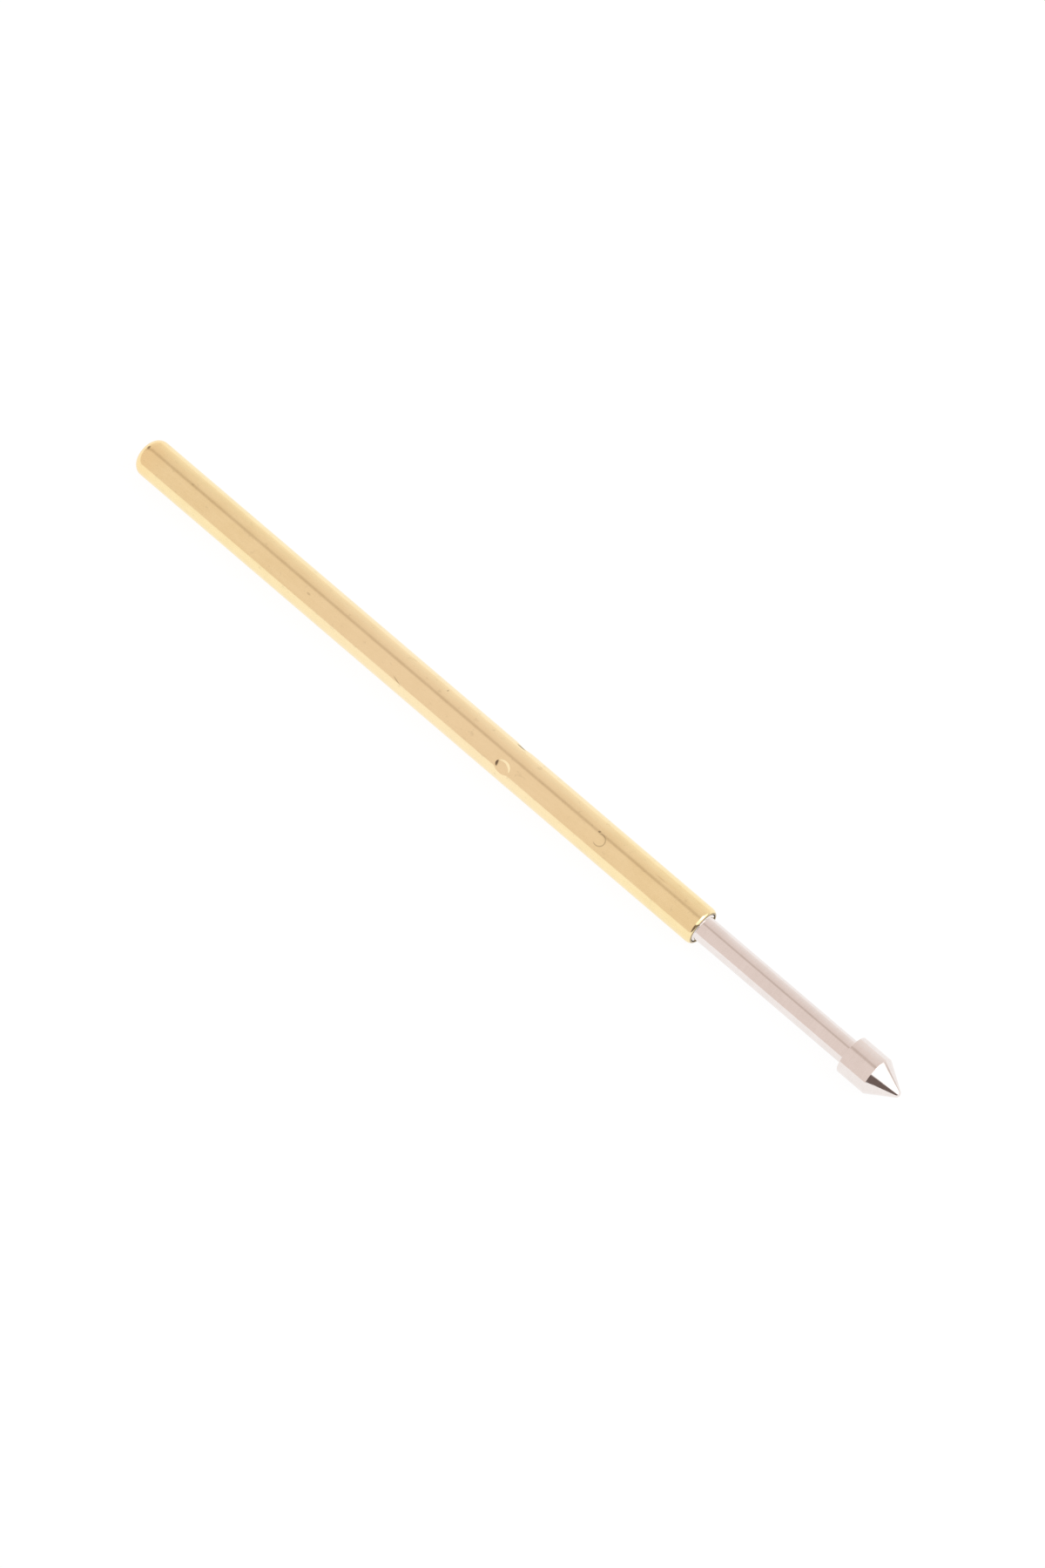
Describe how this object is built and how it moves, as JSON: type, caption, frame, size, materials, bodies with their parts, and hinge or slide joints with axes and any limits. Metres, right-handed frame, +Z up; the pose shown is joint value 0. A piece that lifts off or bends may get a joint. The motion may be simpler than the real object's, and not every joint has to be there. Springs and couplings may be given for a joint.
{
  "type": "pogo pin",
  "caption": "Slim spring-loaded test pin with a gilt closed barrel, three crimps and a sliding plunger with a pointed conical head.",
  "frame": {"origin": "on the pin's axis, in the plane of the barrel's mouth, where the plunger comes out", "axes": "+X along the pin towards the plunger's tip; +Z up as the pin lies; +Y completes the right-handed frame"},
  "size_m": [0.0333, 0.0014, 0.0014],
  "materials": {
    "gold_plate": "smooth gold plate with fine scratches",
    "nickel_plate": "smooth satin nickel plate with a slight pink cast",
    "spring_steel": "drawn wire"
  },
  "bodies": {
    "barrel": {"barrel": "gold_plate", "spring": "spring_steel"},
    "plunger": {"plunger": "nickel_plate"}
  },
  "joints": [
    {"name": "plunger_stroke", "type": "slide", "parent": "barrel", "child": "plunger", "axis": [-1, 0, 0], "range_m": [0, 0.00635], "stiffness_N_per_m": 430, "deforming": ["spring"]}
  ]
}
